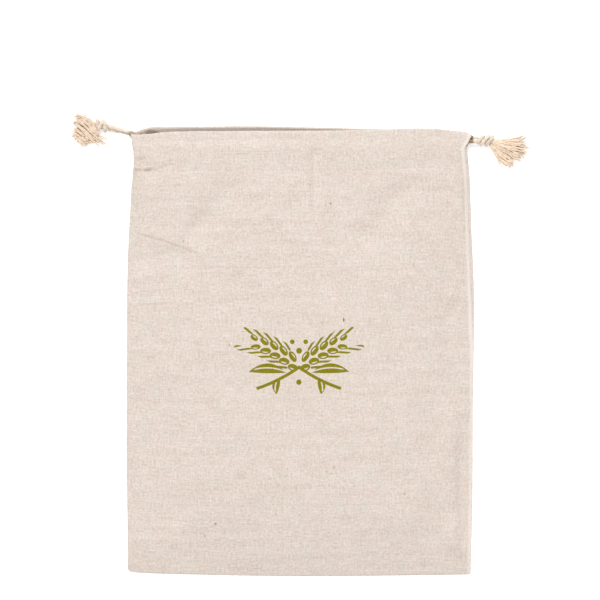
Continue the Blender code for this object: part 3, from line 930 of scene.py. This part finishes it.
# The knots: each pair of cord ends is tied together in one overhand knot, drawn tight, with its wraps
# lying side by side at a slant. Each has its middle, the way that it points in degrees, and its wraps.
KNOTS = {
    "left": (
        Vector((-177.3, 202.2, 5.6)),
        165.0,
        table("offset slant reach", (-2.9, 20.0, 5.3), (0.7, -14.0, 5.5), (3.6, 22.0, 4.6)),
    ),
    "right": (
        Vector((166.3, 188.7, 5.4)),
        -8.0,
        table("offset slant reach", (-4.6, -34.0, 4.6), (-0.6, -34.0, 5.7), (3.6, -32.0, 5.4)),
    ),
}
KNOT_LENGTH = 12.0
KNOT_CORE = 7.2
knots = {}
for name, (middle, turn, wraps) in KNOTS.items():
    ahead = Vector((math.cos(math.radians(turn)), math.sin(math.radians(turn)), 0.0))
    aside = Vector((-ahead.y, ahead.x, 0.0))
    tied = bmesh.new()
    core = [middle + ahead * (KNOT_LENGTH * (k / 16 - 0.5)) for k in range(17)]
    add_tubes(tied, [(core, tapered(KNOT_CORE, 0.3))], 16, two_ply(14.0))
    bands = []
    for wrap in wraps:
        lean = math.tan(math.radians(wrap["slant"]))
        out = wrap["reach"] - CORD / 2
        loop = []
        for k in range(49):
            angle = math.tau * k / 48 + math.pi / 2
            side = math.cos(angle) * out
            place = middle + ahead * (wrap["offset"] - side * lean) + aside * side
            loop.append(place + Vector((0.0, 0.0, math.sin(angle) * out * 0.9)))
        bands.append((loop, lambda share: CORD / 2 + 0.3))
    add_tubes(tied, bands, 14, two_ply(9.0))
    knots[name] = finished("tied_knot_" + name, tied, cotton)
    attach(knots[name], "root")
    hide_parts("knot_" + name)


# The tassels: past each knot the cut ends are unravelled into thick, loose strands of soft yarn. On the left
# they curl back across the bunch, and on the right they fan out.
YARNS_IN_STRAND = 10
# Each strand's curve by four points, its height at each end and its thickness.
STRANDS = {
    "left": table(
        "x0 y0 x1 y1 x2 y2 x3 y3 z0 z3 thick",
        (-182.0, 203.0, -189.0, 208.0, -195.0, 210.5, -202.0, 210.5, 5.4, 3.0, 3.6),
        (-182.0, 202.4, -190.0, 206.5, -196.0, 208.0, -201.0, 207.4, 5.0, 2.4, 3.2),
        (-182.0, 202.0, -190.0, 202.5, -197.0, 203.0, -204.0, 202.0, 4.2, 2.2, 3.4),
        (-182.0, 201.0, -190.0, 199.5, -197.0, 199.0, -203.5, 197.0, 4.0, 2.0, 3.6),
        (-182.0, 200.0, -189.0, 196.0, -196.0, 193.5, -202.0, 192.0, 4.0, 2.0, 3.6),
        (-182.0, 199.6, -186.5, 194.0, -192.0, 190.0, -197.0, 187.0, 4.0, 2.0, 3.6),
        (-182.0, 199.4, -184.0, 194.0, -187.5, 190.0, -191.5, 185.5, 3.6, 1.8, 3.0),
        (-190.5, 208.0, -186.5, 205.5, -182.5, 200.5, -180.5, 193.0, 5.6, 3.6, 2.9),
        (-194.0, 206.6, -188.0, 202.0, -183.0, 196.5, -181.0, 190.5, 6.6, 4.0, 2.9),
        (-197.5, 206.0, -191.0, 200.5, -184.5, 193.0, -173.2, 185.0, 6.8, 2.6, 3.0),
        (-200.5, 203.5, -194.5, 198.0, -188.0, 191.0, -179.0, 185.4, 6.8, 2.4, 3.2),
        (-202.5, 200.0, -197.0, 195.5, -191.5, 190.5, -186.0, 186.6, 6.2, 2.4, 3.0),
        (-203.0, 196.5, -198.5, 192.5, -194.0, 188.5, -189.5, 185.6, 5.0, 2.2, 2.8),
        (-202.0, 192.5, -198.5, 189.5, -195.5, 187.0, -192.5, 184.2, 3.8, 2.0, 2.6),
    ),
    "right": table(
        "x0 y0 x1 y1 x2 y2 x3 y3 z0 z3 thick",
        (170.5, 189.0, 180.0, 189.0, 190.0, 188.0, 201.0, 191.2, 5.6, 4.0, 3.2),
        (170.5, 188.6, 181.0, 187.6, 192.0, 186.0, 203.0, 188.4, 6.2, 4.6, 3.2),
        (170.5, 188.2, 181.5, 186.2, 192.0, 184.0, 203.5, 185.5, 6.6, 4.2, 3.3),
        (170.5, 187.8, 181.5, 184.0, 192.0, 181.0, 203.5, 180.8, 6.8, 4.0, 3.3),
        (170.5, 187.4, 180.5, 182.4, 191.0, 178.4, 202.0, 176.6, 6.4, 3.6, 3.3),
        (170.5, 187.0, 179.5, 181.0, 189.5, 175.6, 199.0, 171.8, 5.8, 3.2, 3.2),
        (170.5, 186.6, 177.5, 180.0, 185.0, 174.0, 193.0, 169.0, 4.6, 2.4, 2.8),
        (170.2, 186.2, 176.0, 179.0, 182.5, 171.0, 192.0, 164.6, 5.2, 2.8, 3.1),
        (170.0, 186.0, 174.5, 179.0, 179.0, 171.5, 186.5, 164.4, 4.2, 2.4, 2.9),
        (170.5, 188.0, 182.0, 187.0, 193.0, 187.6, 202.0, 187.4, 3.4, 2.2, 3.2),
        (170.5, 187.6, 182.0, 183.4, 193.0, 182.0, 203.0, 183.0, 3.4, 2.0, 3.2),
        (170.5, 187.2, 181.0, 181.6, 191.0, 178.0, 201.0, 178.8, 3.2, 2.0, 3.2),
        (170.5, 186.8, 178.0, 180.0, 187.0, 174.0, 196.5, 174.0, 3.0, 1.8, 3.0),
        (170.2, 186.4, 176.0, 180.0, 181.0, 173.0, 189.5, 167.0, 3.0, 1.8, 2.8),
    ),
}
# The single fibres that stand off each bunch, three together: where they start and where they end.
WISPS = {
    "left": (
        (-191.5, 210.5, -195.5, 217.5),
        (-202.0, 210.0, -209.0, 208.5),
        (-202.5, 197.5, -209.5, 196.8),
        (-202.0, 194.5, -208.0, 193.2),
        (-193.5, 186.0, -194.5, 182.0),
    ),
    "right": (
        (202.0, 183.0, 206.8, 182.4),
        (201.0, 178.5, 205.5, 175.8),
        (196.0, 172.0, 199.0, 166.0),
        (200.0, 192.0, 202.5, 196.0),
        (190.0, 166.0, 194.0, 163.2),
    ),
}
unspun = yarn_finish("unravelled_cotton", (0.6, 0.44, 0.3, 1.0), (0.83, 0.7, 0.565, 1.0), 3.0)
chance = random.Random(20)
tassels = {}
for name, strands in STRANDS.items():
    yarns = []
    for strand in strands:
        for _ in range(YARNS_IN_STRAND):
            corners = []
            for k in range(4):
                stray = Vector((chance.gauss(0, 1), chance.gauss(0, 1), chance.gauss(0, 0.6)))
                stray *= 0.45 + 0.55 * k
                middle = Vector((strand[f"x{k}"], strand[f"y{k}"], mix(strand["z0"], strand["z3"], k / 3)))
                corners.append(middle + stray * (strand["thick"] / 3.2))
            reach = 1 - 0.2 * chance.random() ** 2
            frizz, phase = chance.uniform(0.15, 0.55), chance.uniform(0, math.tau)
            line = []
            for k in range(25):
                t = reach * k / 24
                place = corners[0] * (1 - t) ** 3 + corners[1] * (3 * t * (1 - t) ** 2)
                place += corners[2] * (3 * t**2 * (1 - t)) + corners[3] * t**3
                run = (corners[1] - corners[0]) * (1 - t) + (corners[3] - corners[2]) * t
                aside = Vector((-run.y, run.x, 0.0)).normalized()
                place += aside * frizz * math.sin(13 * t + phase)
                place.z = max(0.5, place.z + frizz * math.cos(17 * t + phase * 2))
                line.append(place)
            yarns.append((line, tapered(chance.uniform(0.85, 1.3), 0.12)))
    for x0, y0, x1, y1 in WISPS[name]:
        for _ in range(3):
            bow, phase = chance.uniform(-1.5, 1.5), chance.uniform(0, math.tau)
            line = []
            for k in range(25):
                t = k / 24
                drift = bow * math.sin(math.pi * t) + 0.3 * math.sin(9 * t + phase)
                place = Vector((mix(x0, x1, t), mix(y0, y1, t), 2.5 + math.sin(5 * t + phase)))
                line.append(place + Vector((y0 - y1, x1 - x0, 0.0)).normalized() * drift)
            yarns.append((line, tapered(0.32, 0.2)))
    fan = bmesh.new()
    add_tubes(fan, yarns, 5)
    tassels[name] = finished("yarns_" + name, fan, unspun)
    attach(tassels[name], "root")
    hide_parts("tassel_" + name)

for name, (piece, points, length) in cords.items():
    points[0] * MM
    length * MM
    [p * MM for p in points[::6]] + [points[-1] * MM]


# The table under the bag: plain white paper that glows a little, which leaves hardly a shadow. The light is
# soft and comes from all round, with one broad lamp high beyond the mouth and a faint one at the lower
# right. The lens is long and looks straight down.
floor_mesh = bmesh.new()
bmesh.ops.create_grid(floor_mesh, x_segments=1, y_segments=1, size=8.0)
for vertex in floor_mesh.verts:
    vertex.co.z = -0.0003
paper = bpy.data.materials.new("white_paper")
paper.use_nodes = True
paper_shader = paper.node_tree.nodes["Principled BSDF"]
paper_shader.inputs["Base Color"].default_value = (0.93, 0.93, 0.93, 1.0)
paper_shader.inputs["Roughness"].default_value = 0.9
paper_shader.inputs["Specular IOR Level"].default_value = 0.2
paper_shader.inputs["Emission Color"].default_value = (1.0, 1.0, 1.0, 1.0)
paper_shader.inputs["Emission Strength"].default_value = 0.3
floor = finished("floor", floor_mesh, paper)

world = bpy.data.worlds.new("studio")
world.use_nodes = True
world.node_tree.nodes["Background"].inputs["Color"].default_value = (1.0, 1.0, 1.0, 1.0)
world.node_tree.nodes["Background"].inputs["Strength"].default_value = 0.8
bpy.context.scene.world = world

for label, place, size, power in (
    ("key", Vector((-0.45, 1.9, 3.35)), 1.4, 117.0),
    ("fill", Vector((1.0, -1.2, 2.0)), 1.2, 6.0),
):
    lamp = bpy.data.lights.new(label, "AREA")
    lamp.shape = "DISK"
    lamp.size = size
    lamp.energy = power
    light = bpy.data.objects.new(label, lamp)
    light.location = place
    light.rotation_euler = (-place).to_track_quat("-Z", "Y").to_euler()
    bpy.context.scene.collection.objects.link(light)

lens = bpy.data.cameras.new("camera")
lens.lens = 200.0
lens.sensor_width = 36.0
lens.clip_end = 50.0
camera = bpy.data.objects.new("camera", lens)
camera.location = (0.0002, 0.0457, 2.989)
bpy.context.scene.collection.objects.link(camera)
bpy.context.scene.camera = camera
bpy.context.scene.view_settings.view_transform = "Standard"
